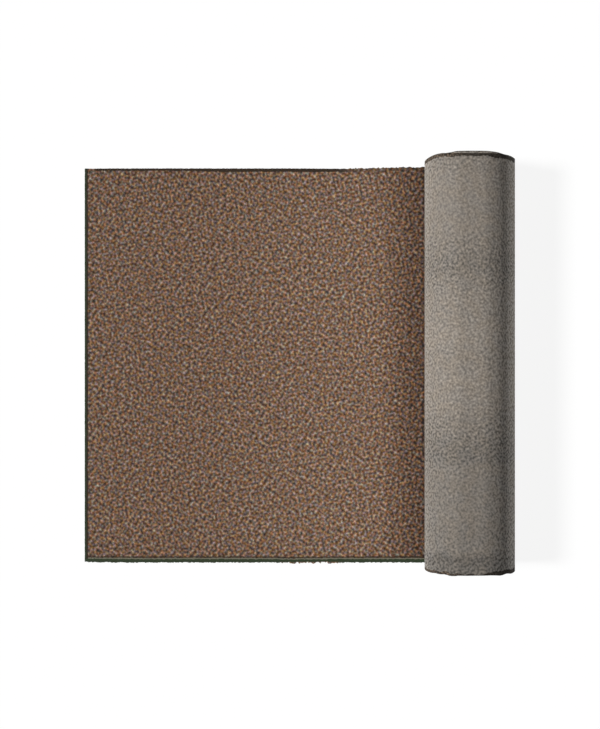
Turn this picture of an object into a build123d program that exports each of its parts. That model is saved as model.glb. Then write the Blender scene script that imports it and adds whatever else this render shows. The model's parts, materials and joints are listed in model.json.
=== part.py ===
from build123d import *
from math import sqrt
import os

# A roll of roofing felt that lies on the floor with its free end laid out flat in front of it.
# +X runs along the laid stretch towards the roll, +Y along the roll's axis and +Z up. The origin is
# on the floor, in the middle of the felt's outline. Lengths are in millimetres, angles in degrees.

# The strip of felt
sheet_width = 1000.0
felt_thickness = 3.5
laid_length = 962.0  # from the cut end to the line where the sheet leaves the floor

# The winding
turns = 20
winding_gap = 0.25  # air between one turn and the next
bore_radius = 35.0
telescope = 16.0  # how far the first turn has slipped along the axis past the last one
inner_end_angle = 270.0  # where the strip's inner end lies in the bore, from +X towards +Z
inner_end_sweep = 60.0  # how far round the bore its step runs out

# Seams between the turns
groove_width = 1.2
groove_depth = 2.5
pressed_gap = 0.8  # under the roll's weight the turns touch where they would be nearer than this

overrun = 10.0  # how far cuts run past the felt

pitch = felt_thickness + winding_gap
roll_radius = bore_radius + turns * pitch
whole_length = sheet_width + telescope

axis_x = (laid_length - roll_radius) / 2
cut_end_x = axis_x - laid_length
near_y = -whole_length / 2
far_y = near_y + sheet_width

# The last turn is drawn from two half circles. The second one is a pitch smaller across, so that it
# comes down on top of the sheet that the first one leaves along the floor.
lap_radius = roll_radius - pitch / 2
lap_centre_z = roll_radius + pitch / 2
seam_z = felt_thickness + pressed_gap
seam_x = axis_x - sqrt(lap_radius**2 - (lap_centre_z - seam_z) ** 2)


def slip(turn):
    """How far a turn has moved along the axis, where turn 0 is the first one, at the bore."""
    return telescope * (1 - turn / (turns - 1))


def waste_beyond(end_y, outward):
    """Section, from the axis out, of what is cut off an end: a step for each turn, a groove between two."""
    steps = [(0, end_y + slip(0))]
    for turn in range(1, turns):
        seam = bore_radius + turn * pitch
        inner_y = end_y + slip(turn - 1)
        outer_y = end_y + slip(turn)
        steps.append((seam - groove_width / 2, inner_y))
        steps.append((seam, (inner_y + outer_y) / 2 - outward * groove_depth))
        steps.append((seam + groove_width / 2, outer_y))
    reach = laid_length + roll_radius
    limit_y = end_y + outward * (telescope + overrun)
    return steps + [(reach, end_y), (reach, limit_y), (0, limit_y)]


with BuildPart() as roofing_felt:
    # Roll and laid sheet in one section: the sheet runs along the floor, turns up into the roll at
    # the tangent line and comes round to lie on itself
    with BuildSketch(Plane.XZ):
        with BuildLine():
            Polyline(
                (axis_x, 0),
                (cut_end_x, 0),
                (cut_end_x, felt_thickness),
                (seam_x, felt_thickness),
                (seam_x, seam_z),
            )
            ThreePointArc(
                (seam_x, seam_z),
                (axis_x - lap_radius, lap_centre_z),
                (axis_x, 2 * roll_radius),
            )
            ThreePointArc(
                (axis_x, 2 * roll_radius),
                (axis_x + roll_radius, roll_radius),
                (axis_x, 0),
            )
        make_face()
    extrude(amount=whole_length / 2, both=True)

    # Both ends turned about the roll's axis, which shows the turns and how they have telescoped:
    # they stand out at the far end and are sunk by as much at the near one
    roll_axis = Axis((axis_x, 0, roll_radius), (0, 1, 0))
    for end_y, outward in ((near_y, -1), (far_y, 1)):
        with BuildSketch(Plane((axis_x, 0, roll_radius))):
            with BuildLine():
                Polyline(*waste_beyond(end_y, outward), close=True)
            make_face()
        revolve(axis=roll_axis, mode=Mode.SUBTRACT)

    # Bore, with the step that the strip's inner end makes in its wall
    with BuildSketch(Plane((axis_x, 0, roll_radius), x_dir=(1, 0, 0), z_dir=(0, -1, 0))):
        Circle(bore_radius)
        with BuildLine():
            wall = CenterArc((0, 0), bore_radius, inner_end_angle, inner_end_sweep)
            step = PolarLine(wall @ 0, felt_thickness, inner_end_angle)
            TangentArc(wall @ 1, step @ 1, tangent=(wall % 1) * -1)
        make_face()
    extrude(amount=whole_length / 2 + overrun, both=True, mode=Mode.SUBTRACT)

roofing_felt.part.label = "roofing_felt"

os.makedirs("parts", exist_ok=True)
export_step(roofing_felt.part, "parts/roofing_felt.step")
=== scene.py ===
import bpy
import json
import math
import numpy as np
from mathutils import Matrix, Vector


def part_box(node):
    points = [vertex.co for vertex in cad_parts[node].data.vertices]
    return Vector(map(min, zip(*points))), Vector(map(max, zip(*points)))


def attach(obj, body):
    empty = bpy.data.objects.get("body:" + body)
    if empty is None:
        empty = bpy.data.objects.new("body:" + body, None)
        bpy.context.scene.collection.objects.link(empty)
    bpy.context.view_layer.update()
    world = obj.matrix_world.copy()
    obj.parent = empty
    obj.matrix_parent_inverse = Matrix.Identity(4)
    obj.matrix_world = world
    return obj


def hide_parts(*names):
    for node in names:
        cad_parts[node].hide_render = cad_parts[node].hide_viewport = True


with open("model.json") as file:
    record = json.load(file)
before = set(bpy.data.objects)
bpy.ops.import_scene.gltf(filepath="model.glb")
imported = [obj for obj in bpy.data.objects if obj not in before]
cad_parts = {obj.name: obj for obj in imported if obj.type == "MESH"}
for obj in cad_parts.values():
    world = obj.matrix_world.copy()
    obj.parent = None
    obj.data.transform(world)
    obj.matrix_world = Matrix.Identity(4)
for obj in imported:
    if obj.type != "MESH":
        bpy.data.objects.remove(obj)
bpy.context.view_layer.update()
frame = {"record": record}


# The strip of felt: the roll's axis and bore come from the record, the rest from the solid's own box
bore = next(mount for mount in frame["record"]["mounts"] if mount["name"] == "bore")
feltLow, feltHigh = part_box("roofing_felt")
strip = {
    "width": bore["dims"]["length_mm"] / 1000,
    "thickness": 0.0035,
    "turns": 20,
    "cutEndX": feltLow.x,
    "nearY": feltLow.y,
    "axisX": bore["pos_m"][0] + 0.0004,
    "rollRadius": feltHigh.z / 2 + 0.0017,  # wound a little loose, and flattened again on top
    "boreRadius": bore["dims"]["r_mm"] / 1000,
}
strip["laidLength"] = strip["axisX"] - strip["cutEndX"]
strip["pitch"] = (strip["rollRadius"] - strip["boreRadius"]) / strip["turns"]


# Small helpers
def startPiece(name):
    if bpy.context.object and bpy.context.object.mode != "OBJECT":
        bpy.ops.object.mode_set(mode="OBJECT")
    bpy.ops.object.select_all(action="DESELECT")
    print("making", name)


def editMode(on=True):
    bpy.ops.object.mode_set(mode="EDIT" if on else "OBJECT")


def pickVerts(piece, test):  # stays in edit mode, with only the vertices that pass selected
    editMode(False)
    picked = [vert.index for vert in piece.data.vertices if test(vert)]
    editMode()
    bpy.ops.mesh.select_mode(type="VERT")
    bpy.ops.mesh.select_all(action="DESELECT")
    editMode(False)
    for index in picked:
        piece.data.vertices[index].select = True
    editMode()


def coordsOf(piece):
    flat = np.empty(len(piece.data.vertices) * 3, dtype=np.float32)
    piece.data.vertices.foreach_get("co", flat)
    return flat.reshape(-1, 3).astype(float)


def putCoords(piece, coords):
    piece.data.vertices.foreach_set("co", np.ascontiguousarray(coords, dtype=np.float32).ravel())
    piece.data.update()


def keepValues(piece, name, values):  # one number for each vertex, which the materials read
    layer = piece.data.attributes.new(name, "FLOAT", "POINT")
    layer.data.foreach_set("value", np.ascontiguousarray(values, dtype=np.float32))


def between(points, values):  # reads a list of (place, value) pairs at many places
    return np.interp(values, *zip(*points))


def nearEdgeOnly(gap, band):  # 1 at an edge, 0 from band on
    return np.clip(1 - gap / band, 0, 1)


def applyModifiers(piece):
    for modifier in list(piece.modifiers):
        bpy.ops.object.modifier_apply(modifier=modifier.name)


# The laid sheet, granules up
laidSheet = {
    "cellsAlong": 288,
    "cellsAcross": 300,
    "relief": 0.0007,  # how far the granules stand up and down
    "reliefUp": 0.6,  # the share of that which is straight up
    "farEdge": [(0, 0.0017), (0.1, 0.0020), (0.55, 0.0021), (0.64, 0.0012), (0.68, 0.0021),
                (0.76, 0.0036), (0.83, 0.0052), (0.87, 0.0058)],  # metres along, metres out of true
    "nearEdge": [(0, -0.0013), (0.04, -0.0003), (0.12, 0.0002), (0.48, 0.0002), (0.51, 0.0016),
                 (0.57, 0.0011), (0.63, 0.0002), (0.85, 0)],
    "cutEnd": 0.0010,  # how far the cut end is out
    "edgeBand": 0.1,  # the stretch that an edge's waviness is spread over
    "nearRagged": [(0.49, 0.0012), (0.51, 0.0030), (0.64, 0.0030), (0.66, 0.0012)],  # loose grains
    "farRagged": [(0.64, 0.0004), (0.68, 0.0020), (0.84, 0.0020)],
    "raggedBand": 0.004,
    "seed": 7,
}


def makeLaidSheet():
    startPiece("laid_sheet")
    length, width = strip["laidLength"], strip["width"]
    middle = (strip["cutEndX"] + length / 2, strip["nearY"] + width / 2, strip["thickness"])
    bpy.ops.mesh.primitive_grid_add(
        x_subdivisions=laidSheet["cellsAlong"],
        y_subdivisions=laidSheet["cellsAcross"],
        size=1,
        location=middle)
    piece = bpy.context.object
    piece.name = "laid_sheet"
    piece.scale = (length, width, 1)
    bpy.ops.object.transform_apply(location=True, rotation=True, scale=True)
    editMode()
    bpy.ops.mesh.select_all(action="SELECT")
    bpy.ops.transform.vertex_random(
        offset=laidSheet["relief"], normal=laidSheet["reliefUp"], seed=laidSheet["seed"])
    bpy.ops.mesh.region_to_loop()
    bpy.ops.mesh.extrude_region_move(TRANSFORM_OT_translate={"value": (0, 0, -strip["thickness"])})
    bpy.ops.transform.resize(value=(1, 1, 0), center_override=(0, 0, 0))  # the underside lies on the floor
    bpy.ops.mesh.edge_face_add()
    bpy.ops.mesh.select_all(action="SELECT")
    bpy.ops.mesh.normals_make_consistent(inside=False)
    editMode(False)

    coords = coordsOf(piece)
    along, across = coords[:, 0] - strip["cutEndX"], coords[:, 1] - strip["nearY"]
    keepValues(piece, "along", along)
    keepValues(piece, "across", across)
    keepValues(piece, "depth", (coords[:, 2] > strip["thickness"] / 2).astype(float))
    band = laidSheet["edgeBand"]
    coords[:, 1] += nearEdgeOnly(width - across, band) * between(laidSheet["farEdge"], along)
    coords[:, 1] -= nearEdgeOnly(across, band) * between(laidSheet["nearEdge"], along)
    coords[:, 0] -= nearEdgeOnly(along, band) * laidSheet["cutEnd"]
    draws = np.random.default_rng(laidSheet["seed"])
    for inwards, gap, ragged in ((1, across, "nearRagged"), (-1, width - across, "farRagged")):
        tufts = draws.uniform(-1, 1, laidSheet["cellsAlong"] + 1)
        tufts = np.interp(along, np.linspace(0, length, len(tufts)), tufts)
        tufts *= between(laidSheet[ragged], along)
        coords[:, 1] += inwards * nearEdgeOnly(gap, laidSheet["raggedBand"]) * tufts
    putCoords(piece, coords)
    return piece


# The wound part of the strip, back outwards. Only the outermost and innermost turns run the whole
# width: between them nothing shows but the ends
woundRoll = {
    "stepsHalfTurn": 48,
    "cellsAcross": 50,
    "startWidth": 0.01,  # of the plane that one edge is kept of
    "sameLine": 1e-5,
    "samePoint": 1e-6,
    "wall": 0.0032,  # leaves dark gaps between the turns
    "rimBevel": 0.0005,
    "rimAngle": 60,  # degrees
    "flats": [(-3.9, 16.0), (49.0, 13.0), (68.0, 17.0)],  # degrees from the top, half width
    "flatSoft": 0.0028,
    "flatReach": 0.2,  # the least cosine that a flat is worked out at
    "loose": [(5.4, 0.0008), (12.2, 0.0017)],  # turns that have let go of the next one, and the gap
    "unevenEnds": 0.0008,  # how far single turns stand out of line at the ends
    "farEdge": [(0, 0.0058), (0.2, 0.0050), (0.25, 0.0068), (0.34, 0.0062), (0.42, 0.0045),
                (0.5, 0.0034), (0.56, 0.0050), (0.6, 0.0066), (0.62, 0.0086), (0.65, 0.0082),
                (0.68, 0.0062), (0.7, 0.0046), (0.75, 0.0022), (1, 0.0040), (1.3, 0.0060),
                (1.375, 0.0060), (1.42, 0.0084), (1.45, 0.0094), (1.52, 0.0102), (1.57, 0.0104),
                (1.59, 0.0086), (1.65, 0.0078), (1.8, 0.0060), (2, 0.0065),
                (20, 0.0190)],  # turns wound, metres towards the far end
    "nearEdge": [(0, 0), (0.25, -0.0025), (0.31, -0.0022), (0.335, -0.0009), (0.36, 0.0022),
                 (0.378, 0.0028), (0.395, 0.0014), (0.41, 0.0013), (0.43, 0.0031), (0.45, 0.0040),
                 (0.5, 0.0037), (0.53, 0.0031), (0.56, 0.0030), (0.57, 0.0015), (0.59, 0.0006),
                 (0.605, 0.0028), (0.615, 0.0030), (0.63, 0.0014), (0.655, 0.0022), (0.675, 0.0006),
                 (0.735, 0.0003), (0.8, 0.0020), (1, 0.0060), (20, 0.0195)],
    "seed": 21,
}


def makeWoundRoll():
    startPiece("wound_roll")
    axisX, radius, pitch = strip["axisX"], strip["rollRadius"], strip["pitch"]
    nearY, farY = strip["nearY"], strip["nearY"] + strip["width"]
    cell = strip["width"] / woundRoll["cellsAcross"]
    bpy.ops.mesh.primitive_plane_add(size=1, location=(axisX, nearY + strip["width"] / 2, 0))
    piece = bpy.context.object
    piece.name = "wound_roll"
    piece.scale = (woundRoll["startWidth"], strip["width"], 1)
    bpy.ops.object.transform_apply(location=True, rotation=True, scale=True)
    pickVerts(piece, lambda vert: vert.co.x < axisX)
    bpy.ops.mesh.delete(type="VERT")  # leaves the line where the sheet leaves the floor
    bpy.ops.mesh.select_all(action="SELECT")
    bpy.ops.transform.translate(value=(-woundRoll["startWidth"] / 2, 0, 0))
    bpy.ops.mesh.subdivide(number_cuts=woundRoll["cellsAcross"] - 1)

    def halfTurn(index):  # the two halves of each turn have centres half a pitch apart, which winds it in
        centreZ = radius + (pitch / 2 if index % 2 else 0)
        bpy.ops.mesh.spin(
            steps=woundRoll["stepsHalfTurn"], angle=math.pi, center=(axisX, 0, centreZ), axis=(0, 1, 0))

    def fromEdge(vert):  # how far a vertex is from the nearer edge of the strip, in cells
        return min(vert.co.y - nearY, farY - vert.co.y) / cell

    def atLine(vert, turn):  # on the line under the axis where a turn starts
        offX, offZ = abs(vert.co.x - axisX), abs(vert.co.z - pitch * turn)
        return max(offX, offZ) < woundRoll["sameLine"]

    innerTurn = strip["turns"] - 1
    for index in (0, 1):
        halfTurn(index)
    pickVerts(piece, lambda vert: atLine(vert, 1) and fromEdge(vert) < 1.5)  # two points at each edge
    for index in range(2, 2 * innerTurn):
        halfTurn(index)
    pickVerts(piece, lambda vert: atLine(vert, innerTurn) and fromEdge(vert) > 0.5)
    bpy.ops.mesh.edge_face_add()  # the innermost turn is whole again
    pickVerts(piece, lambda vert: atLine(vert, innerTurn))
    for index in (0, 1):
        halfTurn(index)
    bpy.ops.mesh.select_all(action="SELECT")
    bpy.ops.mesh.remove_doubles(threshold=woundRoll["samePoint"])
    bpy.ops.mesh.normals_make_consistent(inside=False)
    editMode(False)

    coords = coordsOf(piece)
    out = coords - np.array([axisX, 0, radius])
    away = np.hypot(out[:, 0], out[:, 2])
    angle = np.mod(np.arctan2(out[:, 0], -out[:, 2]), 2 * math.pi)  # from straight down, towards +X
    lag = 0.25  # of a turn: the half circles lag behind a true spiral by up to twice this
    turn = np.round((radius - away) / pitch - angle / (2 * math.pi) + lag)
    wound = turn + angle / (2 * math.pi)
    keepValues(piece, "along", strip["laidLength"] + 2 * math.pi * (radius * wound - pitch * wound**2 / 2))
    keepValues(piece, "across", coords[:, 1] - nearY)
    keepValues(piece, "depth", np.zeros(len(coords)))

    draws = np.random.default_rng(woundRoll["seed"]).normal(0, 1, strip["turns"] + 2)
    uneven = np.interp(wound, np.arange(strip["turns"] + 2), draws) * woundRoll["unevenEnds"]
    uneven *= np.clip(wound - 1, 0, 1)  # the last turn has its own edges
    far, near = between(woundRoll["farEdge"], wound), between(woundRoll["nearEdge"], wound)
    share = (coords[:, 1] - nearY) / strip["width"]
    coords[:, 1] += near + (far - near) * share + uneven

    inward = np.zeros(len(coords))
    for centre, half in woundRoll["flats"]:
        aside = np.arctan2(out[:, 0], out[:, 2]) - math.radians(centre)
        flat = radius * math.cos(math.radians(half)) / np.maximum(np.cos(aside), woundRoll["flatReach"])
        sunk = radius - flat
        sunk = (sunk + np.sqrt(sunk**2 + woundRoll["flatSoft"]**2)) / 2
        inward += sunk * (1 - wound / strip["turns"])
    for after, gap in woundRoll["loose"]:
        inward += gap * np.clip(wound - after, 0, 1) * (strip["turns"] - wound) / (strip["turns"] - after)
    coords -= out / away[:, None] * inward[:, None] * np.array([1, 0, 1])
    putCoords(piece, coords)

    backVerts = len(piece.data.vertices)
    wall = piece.modifiers.new("wall", "SOLIDIFY")
    wall.thickness = woundRoll["wall"]
    wall.offset = -1
    wall.use_even_offset = True
    wall.material_offset = 1
    wall.material_offset_rim = 2
    applyModifiers(piece)
    for index, value in enumerate(piece.data.attributes["depth"].data):
        value.value = float(index >= backVerts)
    soften = piece.modifiers.new("soften", "BEVEL")
    soften.width = woundRoll["rimBevel"]
    soften.segments = 1
    soften.limit_method = "ANGLE"
    soften.angle_limit = math.radians(woundRoll["rimAngle"])
    applyModifiers(piece)
    return piece


# Materials
class Wire:  # one socket of a node tree: sums on it add Math nodes
    def __init__(self, tree, socket=None):
        self.tree = tree
        self.socket = socket

    def node(self, kind, settings, sockets, out=0):
        made = self.tree.nodes.new("ShaderNode" + kind)
        for name, value in settings.items():
            if name == "stops":
                ramp = made.color_ramp.elements
                while len(ramp) < len(value):
                    ramp.new(1)
                for stop, (position, colour) in zip(ramp, value):
                    stop.position = position
                    stop.color = (*colour, 1)
            else:
                setattr(made, name, value)
        for name, value in sockets.items():
            if isinstance(value, Wire):
                self.tree.links.new(value.socket, made.inputs[name])
            else:
                made.inputs[name].default_value = value
        return Wire(self.tree, made.outputs[out])

    def also(self, out):  # another output of the same node
        return Wire(self.tree, self.socket.node.outputs[out])

    def math(self, operation, first, second=0.0):
        return self.node("Math", {"operation": operation}, {0: first, 1: second})

    def __add__(self, other):
        return self.math("ADD", self, other)

    def __radd__(self, other):
        return self.math("ADD", other, self)

    def __sub__(self, other):
        return self.math("SUBTRACT", self, other)

    def __rsub__(self, other):
        return self.math("SUBTRACT", other, self)

    def __mul__(self, other):
        return self.math("MULTIPLY", self, other)

    def most(self, other):
        return self.math("MAXIMUM", self, other)

    def held(self):  # kept between 0 and 1
        return self.math("MAXIMUM", self.math("MINIMUM", self, 1.0), 0.0)

    def rise(self, low, high):  # 0 at low, 1 at high, smooth between
        return self.node("MapRange", {"interpolation_type": "SMOOTHSTEP"},
                         {"Value": self, "From Min": low, "From Max": high})

    def fall(self, low, high):
        return 1 - self.rise(low, high)

    def near(self, centre, half):  # 1 around the centre, half of that at half, then 0
        return self.math("ABSOLUTE", self - centre).fall(half * 0.5, half * 1.5)

    def mix(self, first, second):  # this value mixes two colours
        colours = {0: self}
        for slot, colour in ((6, first), (7, second)):
            colours[slot] = colour if isinstance(colour, Wire) else (*colour, 1)
        return self.node("Mix", {"data_type": "RGBA"}, colours, 2)

    def times(self, colour):  # two colours multiplied
        sockets = {0: 1.0, 6: self, 7: colour}
        return self.node("Mix", {"data_type": "RGBA", "blend_type": "MULTIPLY"}, sockets, 2)

    def ramp(self, stops):  # this value picks a colour
        return self.node("ValToRGB", {"stops": stops}, {"Fac": self})


def startMaterial(name):
    material = bpy.data.materials.new(name)
    material.use_nodes = True
    material.node_tree.nodes.clear()
    place = Wire(material.node_tree).node("TexCoord", {}, {}, "Object")
    return material, place


def finish(shader, kind="Material"):
    output = shader.tree.nodes.new("ShaderNodeOutput" + kind)
    shader.tree.links.new(shader.socket, output.inputs["Surface"])


def readValue(wire, name):
    return wire.node("Attribute", {"attribute_name": name}, {}, "Fac")


def noise(place, size, detail=2.0, rough=0.5):  # size is the width of a patch in metres
    sockets = {"Vector": place, "Scale": 1 / size, "Detail": detail, "Roughness": rough}
    return place.node("TexNoise", {}, sockets)


def flatNoise(lay, size, detail=0.0, shift=0.0):  # runs along the strip's own surface, at a slant
    slant = (0, 0, shift + 0.6)
    moved = lay.node("Mapping", {}, {"Vector": lay, "Location": (shift, shift, 0), "Rotation": slant})
    sockets = {"Vector": moved, "Scale": 1 / size, "Detail": detail}
    return lay.node("TexNoise", {"noise_dimensions": "2D"}, sockets)


def spread(even, *shares):  # a value about even, with noises that each count for their share
    for value, share in shares:
        even = even + (value - 0.5) * share
    return even.held()


def onStrip(place):  # the strip's own coordinates, in metres from its cut end and near edge
    along, across = readValue(place, "along"), readValue(place, "across")
    lay = place.node("CombineXYZ", {}, {0: along, 1: across})
    return along, across, lay


def surface(colour, roughness, height, bumpDistance, fixed):
    bump = colour.node("Bump", {}, {"Distance": bumpDistance, "Height": height}, "Normal")
    sockets = {"Base Color": colour, "Roughness": roughness, "Normal": bump, **fixed}
    return colour.node("BsdfPrincipled", {}, sockets)


mineral = {
    "granule": 0.0021,  # width of one granule
    "clump": 0.0068,  # width of a light or dark patch of them
    "tintClump": 0.00816,  # width of a warm or cool one
    "evenLight": 0.467,
    "evenTint": 0.53,
    "evenHue": 0.5,
    "light": (0.24, 0.92),  # how much single granules and clumps vary
    "tint": (0.40, 1.85),
    "hue": (0.6, 4.0),
    "paintedLightAlong": [(0.22, 0.66, 0.068), (0.73, 0.86, -0.215), (0.8555, 0.8585, -0.10)],  # metres along, lighter: painted light, lighter from the middle on; painted shade, darker towards the roll; and a painted shadow line at the roll's foot
    "darkerSides": [(0.08, 0.02, -0.018), (0.84, 0.97, -0.018)],  # metres across, lighter: darker near both long edges
    "rose": (1.04, 0.915, 1.03),
    "olive": (0.96, 1.085, 0.95),
    "warm": [(0.0, (0.022, 0.010, 0.005)), (0.22, (0.078, 0.034, 0.013)), (0.5, (0.200, 0.093, 0.036)),
             (0.75, (0.350, 0.190, 0.088)), (1.0, (0.62, 0.43, 0.25))],  # from dark to light granules
    "cool": [(0.0, (0.013, 0.011, 0.012)), (0.22, (0.046, 0.039, 0.038)), (0.5, (0.128, 0.105, 0.100)),
             (0.75, (0.254, 0.218, 0.210)), (1.0, (0.46, 0.42, 0.40))],
    "bitumen": (0.019, 0.013, 0.008),
    "greenBitumen": (0.024, 0.039, 0.019),
    "chalk": (0.170, 0.160, 0.115),
    "raggedSize": 0.006,  # how wide and deep the margins' unevenness is
    "farBare": (0.0050, 0.0070),  # metres from an edge over which bare bitumen gives way to granules
    "farWider": (0.28, 0.32, 0.0024),  # from here on it is wider
    "farStart": (0.022, 0.030),
    "farWeak": (0.64, 0.70, 0.55),  # from here on it shows less
    "endBare": (0.0075, 0.0095),
    "endGreen": (0.0035, 0.0055),
    "nearBare": (0.0078, 0.0093),
    "nearChalk": (0.0110, 0.0120),
    "nearThin": (0.0148, 0.0170),
    "frayed": (0.0012, 0.0032),  # loose granules outside the near margin
    "frayedStart": (0.49, 0.52),
    "frayedStop": (0.63, 0.66),
    "bump": 0.0005,
    "specular": 0.15,
}


def makeMineral():
    material, place = startMaterial("mineral_granules")
    along, across, lay = onStrip(place)
    granule = place.node("TexVoronoi", {"voronoi_dimensions": "2D"},
                         {"Vector": lay, "Scale": 1 / mineral["granule"]}, "Color")
    apart = granule.also("Distance")
    single = granule.node("SeparateColor", {}, {"Color": granule})
    even = mineral["evenLight"]  # painted light and shade along the sheet, and darker near both long edges
    for way, toneAndPaintedLightStretches in ((along, mineral["paintedLightAlong"]), (across, mineral["darkerSides"])):
        for low, high, lighter in toneAndPaintedLightStretches:
            even = even + way.rise(low, high) * lighter

    def vary(even, own, size, shift, shares):  # by the granule and by the clump
        return spread(even, (own, shares[0]), (flatNoise(lay, size, shift=shift), shares[1]))

    light = vary(even, single, mineral["clump"], 0.0, mineral["light"])
    tint = vary(mineral["evenTint"], single.also(1), mineral["tintClump"], 3.1, mineral["tint"])
    hue = vary(mineral["evenHue"], single.also(2), mineral["clump"], 7.7, mineral["hue"])
    granules = tint.mix(light.ramp(mineral["cool"]), light.ramp(mineral["warm"]))
    granules = granules.times(hue.mix(mineral["rose"], mineral["olive"]))

    size = mineral["raggedSize"]
    ragged = (noise(place, size) - 0.5) * size  # bare margins have uneven edges
    farGap = strip["width"] - across + ragged
    endGap = along + ragged
    nearGap = across + ragged
    widerFrom, widerTo, wider = mineral["farWider"]
    weakFrom, weakTo, weaker = mineral["farWeak"]
    farBare = (farGap - along.rise(widerFrom, widerTo) * wider).fall(*mineral["farBare"])
    farBare = farBare * along.rise(*mineral["farStart"]) * (1 - along.rise(weakFrom, weakTo) * weaker)
    bare = farBare.most(endGap.fall(*mineral["endBare"]))
    nearBare = nearGap.fall(*mineral["nearBare"])
    thin = nearGap.fall(*mineral["nearThin"])
    chalk = nearGap.fall(*mineral["nearChalk"]) * (1 - nearBare)
    green = nearBare.most(endGap.fall(*mineral["endGreen"]))
    frayed = along.rise(*mineral["frayedStart"]) * along.fall(*mineral["frayedStop"])
    frayed = frayed * across.fall(*mineral["frayed"])
    colour = (thin * 0.75).mix(granules, mineral["bitumen"])
    colour = (chalk * 0.92).mix(colour, mineral["chalk"])
    colour = (bare * 0.94).mix(colour, mineral["bitumen"])
    colour = (green * 0.9).mix(colour, mineral["greenBitumen"])
    colour = (frayed * 0.8).mix(colour, granules)
    bumps = (1 - apart) * (1 - bare.most(nearBare) * 0.8)
    fixed = {"Specular IOR Level": mineral["specular"]}
    finish(surface(colour, light * 0.2 + 0.72, bumps, mineral["bump"], fixed))
    return material


sandedBack = {
    "cover": [(0.0, (0.018, 0.017, 0.015)), (0.35, (0.114, 0.104, 0.093)), (0.62, (0.218, 0.191, 0.163)),
              (1.0, (0.42, 0.372, 0.318))],  # from thin to thick sand
    "evenCover": 0.612,
    "speckle": 0.56,
    "speckleGain": 1.27,
    "grit": (0.0063, 0.62),  # width of a speckle, and how much it counts
    "smallGrit": (0.004662, 0.38),
    "fine": (0.00189, 0.2),
    "warm": (1.02, 1.0, 0.97),
    "cool": (0.985, 1.0, 1.02),
    "stain": (0.032, 3.0),  # width of a warm or cool patch, and how sharp it is
    "bitumen": (0.016, 0.013, 0.010),
    "crumb": (0.16, 0.115, 0.080),
    "crumbSize": 0.0045,
    "drift": 0.03,  # how far the lanes wander
    "lanes": [  # place across the strip, half width, how much thinner the sand lies, more speckle
        (0.900, 0.130, 0.03, -0.10),
        (0.985, 0.030, 0.03, 0.10),
        (0.738, 0.060, 0.05, 0.14),
        (0.735, 0.022, 0.05, 0.00),
        (0.570, 0.030, -0.03, 0.00),
        (0.465, 0.015, -0.02, 0.00),
        (0.320, 0.060, 0.08, 0.10),
        (0.298, 0.030, 0.05, 0.00),
        (0.150, 0.120, 0.115, -0.10),
        (0.070, 0.050, 0.03, 0.00),
        (0.020, 0.028, 0.19, 0.00),
    ],
    "toneAndPaintedLightStretches": [  # metres past the laid sheet, half width, how much thicker the sand lies there: partly uneven sand, partly painted light and shade round the roll
        (0.225, 0.020, 0.05),
        (0.310, 0.060, 0.015),
        (0.437, 0.035, -0.03),
        (0.510, 0.025, 0.05),
    ],
    "lastTurn": (0.64, 0.68),  # metres past the laid sheet
    "innerTurns": (1.30, 1.36),
    "rightSide": (0.01, 0.06),  # metres from the axis
    "leftSide": (-0.02, -0.06),
    "farBare": (0.0005, 0.0025),  # metres from an edge over which bare bitumen gives way to sand
    "farBareAndShadeReach": (0.005, 0.006, 0.005, 0.003),  # wider on the last turn, inner turns, right and left: bare bitumen, with painted shade where the turns' ends step out
    "nearBare": (0.002, 0.004),
    "nearReach": (0.008, 0.004),  # wider on the right and left
    "raggedSize": 0.011,
    "raggedDepth": 0.009,
    "bump": 0.0004,
    "specular": 0.05,
    "sheen": {"Sheen Weight": 0.55, "Sheen Roughness": 0.5, "Sheen Tint": (1.0, 0.97, 0.92, 1)},
    "standing": (0.40, 0.52),  # the grit that catches the light from the side
}


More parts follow.
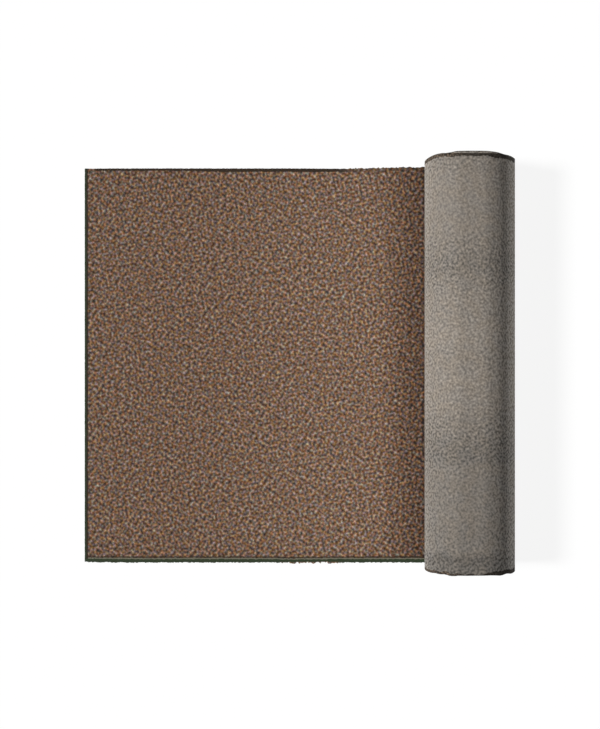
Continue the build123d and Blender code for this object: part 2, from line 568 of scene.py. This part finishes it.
def makeSandedBack():
    material, place = startMaterial("sanded_back")
    along, across, lay = onStrip(place)
    past = along - strip["laidLength"]
    drift = across + (flatNoise(lay, sandedBack["drift"], 2.0) - 0.5) * sandedBack["drift"]
    cover, speckle = sandedBack["evenCover"], sandedBack["speckle"]
    for centre, half, less, more in sandedBack["lanes"]:
        lane = drift.near(centre, half)
        cover = cover - lane * less
        speckle = speckle + lane * more
    # thicker and thinner sand round the last turn, partly painted light and shade
    for centre, half, more in sandedBack["toneAndPaintedLightStretches"]:
        cover = cover + past.near(centre, half) * more
    (gritSize, gritShare), (smallSize, smallShare) = sandedBack["grit"], sandedBack["smallGrit"]
    fineSize, fineShare = sandedBack["fine"]
    grit = flatNoise(lay, gritSize) * gritShare + flatNoise(lay, smallSize, shift=9.1) * smallShare
    fine = flatNoise(lay, fineSize, 1.0, 5.3)
    cover = spread(cover, (grit, speckle * sandedBack["speckleGain"]), (fine, fineShare))
    stainSize, stainSharp = sandedBack["stain"]
    stain = spread(0.5, (flatNoise(lay, stainSize, 2.0, 2.2), stainSharp))
    colour = cover.ramp(sandedBack["cover"])
    colour = colour.times(stain.mix(sandedBack["cool"], sandedBack["warm"]))
    height = fine + grit * 0.8

    lastTurn, innerTurns = past.fall(*sandedBack["lastTurn"]), past.rise(*sandedBack["innerTurns"])
    aside = place.node("SeparateXYZ", {}, {"Vector": place}) - strip["axisX"]
    right = aside.rise(*sandedBack["rightSide"]) * lastTurn
    left = aside.rise(*sandedBack["leftSide"]) * lastTurn
    ragged = (noise(place, sandedBack["raggedSize"]) - 0.5) * sandedBack["raggedDepth"]
    farGap, nearGap = strip["width"] - across + ragged, across + ragged
    # the widened far margins are partly bare bitumen, partly painted shade between the turns' ends
    for where, wider in zip((lastTurn, innerTurns, right, left), sandedBack["farBareAndShadeReach"]):
        farGap = farGap - where * wider
    for where, wider in zip((right, left), sandedBack["nearReach"]):
        nearGap = nearGap - where * wider
    bare = farGap.fall(*sandedBack["farBare"]).most(nearGap.fall(*sandedBack["nearBare"])) * 0.95
    crumbs = noise(place, sandedBack["crumbSize"], 1.0).rise(0.45, 0.65) * (left * 0.75 + 0.1)
    tar = crumbs.mix(sandedBack["bitumen"], sandedBack["crumb"])
    fixed = {"Specular IOR Level": sandedBack["specular"]}
    dusty = surface(colour, 0.9, height, sandedBack["bump"], {**fixed, **sandedBack["sheen"]})
    matt = surface(bare.mix(colour, tar), 0.9 - crumbs * 0.1, height, sandedBack["bump"], fixed)
    dust = grit.rise(*sandedBack["standing"]) * (1 - bare)
    finish(dust.node("MixShader", {}, {0: dust, 1: matt, 2: dusty}))
    return material


cutEdge = {
    "layers": [(0.0, (0.170, 0.150, 0.128)), (0.10, (0.024, 0.019, 0.015)), (0.36, (0.030, 0.024, 0.018)),
               (0.48, (0.250, 0.205, 0.160)), (0.60, (0.028, 0.022, 0.017)), (0.86, (0.030, 0.022, 0.016)),
               (1.0, (0.150, 0.098, 0.066))],  # sand, bitumen, fibre base, bitumen, granules
    "grain": 0.0022,
    "bump": 0.0006,
    "specular": 0.12,
}


def makeCutEdge():
    material, place = startMaterial("cut_edge")
    grain = noise(place, cutEdge["grain"], 3.0, 0.6)
    layer = spread(readValue(place, "depth"), (grain, 0.2))
    fixed = {"Specular IOR Level": cutEdge["specular"]}
    finish(surface(layer.ramp(cutEdge["layers"]), grain * 0.2 + 0.72, grain, cutEdge["bump"], fixed))
    return material


smoothAngle = 50  # degrees: sharper edges stay sharp


def dress(piece, materials):
    for material in materials:
        piece.data.materials.append(material)
    bpy.ops.object.select_all(action="DESELECT")
    piece.select_set(True)
    bpy.context.view_layer.objects.active = piece
    bpy.ops.object.shade_smooth_by_angle(angle=math.radians(smoothAngle))
    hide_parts("roofing_felt")
    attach(piece, "root")


mineralCoat, backCoat, edgeCoat = makeMineral(), makeSandedBack(), makeCutEdge()
sheetPiece = makeLaidSheet()
dress(sheetPiece, [mineralCoat, backCoat, edgeCoat])
for face in sheetPiece.data.polygons:
    face.material_index = 0 if face.normal.z > 0.5 else 1 if face.normal.z < -0.5 else 2
rollPiece = makeWoundRoll()
dress(rollPiece, [backCoat, mineralCoat, edgeCoat])
print("felt made:", [(piece.name, len(piece.data.polygons)) for piece in (sheetPiece, rollPiece)])


# Floor, light and camera
stage = {
    "floorSize": 12.0,
    "floorDrop": 0.0004,  # clear of the felt's underside
    "floorColour": (0.8, 0.8, 0.8, 1),
    "floorGlow": 0.75,  # a light table under the felt
    "seenColour": (0.105, 0.105, 0.105, 1),  # what the camera sees of the floor: white, with a pale shadow
    "seenGlow": 0.90,
    "white": (1, 1, 1, 1),
    "skyStrength": 0.02,
    "keyPlace": (-3, 0, 3.3),
    "keyHeight": 46,  # degrees above the floor, from the cut end's side
    "keySoftness": 10,  # degrees across
    "keyStrength": 4.18,
}


def seenDirectly(wire):
    seen = wire.node("LightPath", {}, {}, "Is Camera Ray")
    return seen.most(seen.also("Is Glossy Ray")).most(seen.also("Is Transmission Ray"))


def makeStage():
    startPiece("floor")
    bpy.ops.mesh.primitive_plane_add(size=stage["floorSize"], location=(0, 0, -stage["floorDrop"]))
    floor = bpy.context.object
    floor.name = "floor"
    bpy.ops.object.transform_apply(location=True, rotation=True, scale=True)
    material, place = startMaterial("pale_floor")

    def glowing(colour, strength):
        matt = place.node("BsdfDiffuse", {}, {"Color": colour})
        glow = place.node("Emission", {}, {"Color": stage["white"], "Strength": strength})
        return place.node("AddShader", {}, {0: matt, 1: glow})

    under = glowing(stage["floorColour"], stage["floorGlow"])
    pictured = glowing(stage["seenColour"], stage["seenGlow"])
    finish(place.node("MixShader", {}, {0: seenDirectly(place), 1: under, 2: pictured}))
    floor.data.materials.append(material)

    world = bpy.data.worlds.new("studio")
    bpy.context.scene.world = world
    world.use_nodes = True
    world.node_tree.nodes.clear()
    sky = Wire(world.node_tree)
    dim = sky.node("Background", {}, {"Color": stage["white"], "Strength": stage["skyStrength"]})
    plain = sky.node("Background", {}, {"Color": stage["white"], "Strength": 1.0})
    finish(sky.node("MixShader", {}, {0: seenDirectly(sky), 1: dim, 2: plain}), "World")

    bpy.ops.object.light_add(type="SUN", location=stage["keyPlace"])
    key = bpy.context.object
    key.name = "key"
    key.data.energy = stage["keyStrength"]
    key.data.angle = math.radians(stage["keySoftness"])
    key.rotation_euler = (0, math.radians(stage["keyHeight"] - 90), 0)


view = {
    "place": (0.0105, -0.0046, 3.087),  # straight above the felt, looking down
    "sensorWidth": 36,
    "lens": 59.876,
    "clipStart": 0.05,
}


def makeCamera():
    bpy.ops.object.camera_add(location=view["place"], rotation=(0, 0, 0))
    camera = bpy.context.object
    camera.data.sensor_width = view["sensorWidth"]
    camera.data.lens = view["lens"]
    camera.data.clip_start = view["clipStart"]
    bpy.context.scene.camera = camera


makeStage()
makeCamera()
bpy.context.scene.view_settings.view_transform = "Standard"
print("stage set")
